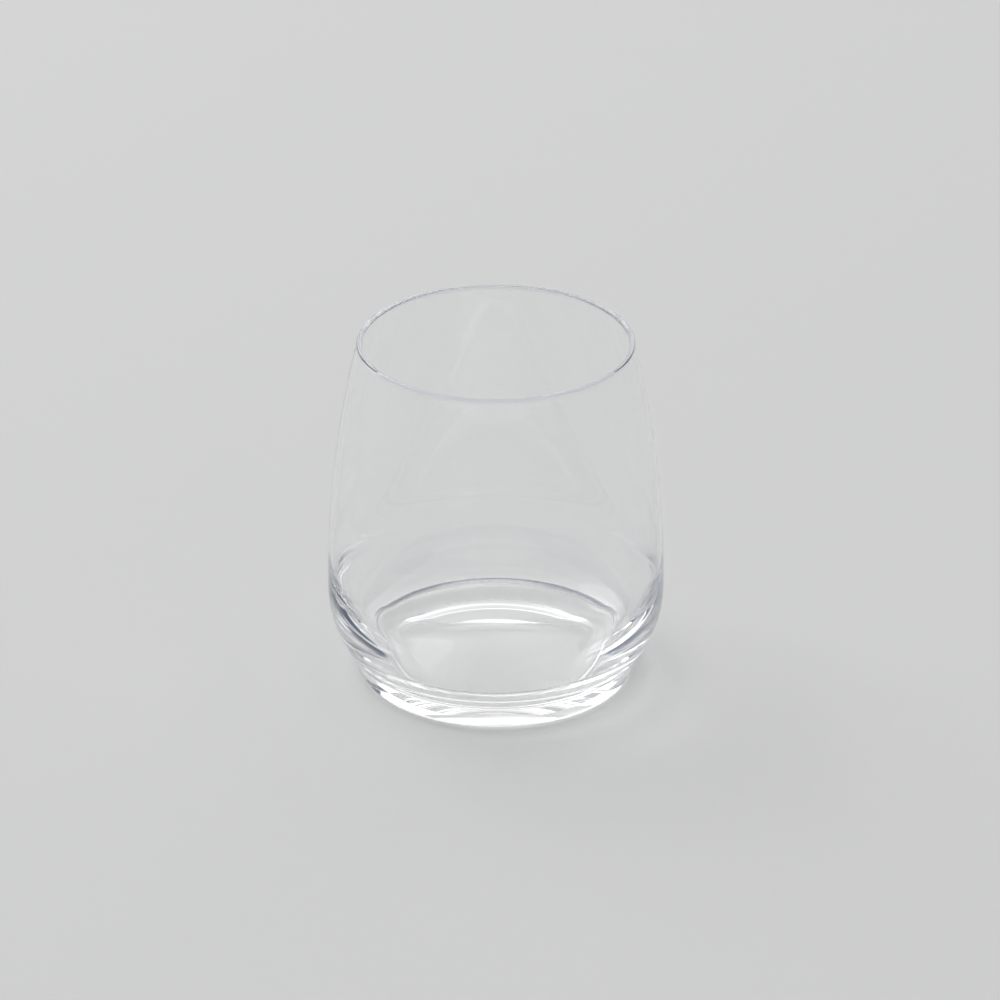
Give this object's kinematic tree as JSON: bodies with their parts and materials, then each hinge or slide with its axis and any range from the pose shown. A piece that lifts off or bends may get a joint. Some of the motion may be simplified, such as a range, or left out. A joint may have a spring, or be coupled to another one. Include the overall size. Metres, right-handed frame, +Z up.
{
  "type": "stemless wine glass",
  "caption": "Clear stemless wine glass: a thin egg-shaped bowl narrows to a polished lip and swells low down to a heavy heel on a short round foot.",
  "frame": {"origin": "middle of the foot, on the surface that the glass stands on", "axes": "+Z up along the axis of the glass, from the foot to the mouth; the glass is round, so X and Y are free"},
  "size_m": [0.09, 0.09, 0.096],
  "materials": {
    "clear_glass": "clear, flame polished"
  },
  "bodies": {
    "root": {"rim": "clear_glass", "bowl": "clear_glass", "foot": "clear_glass"}
  },
  "joints": []
}
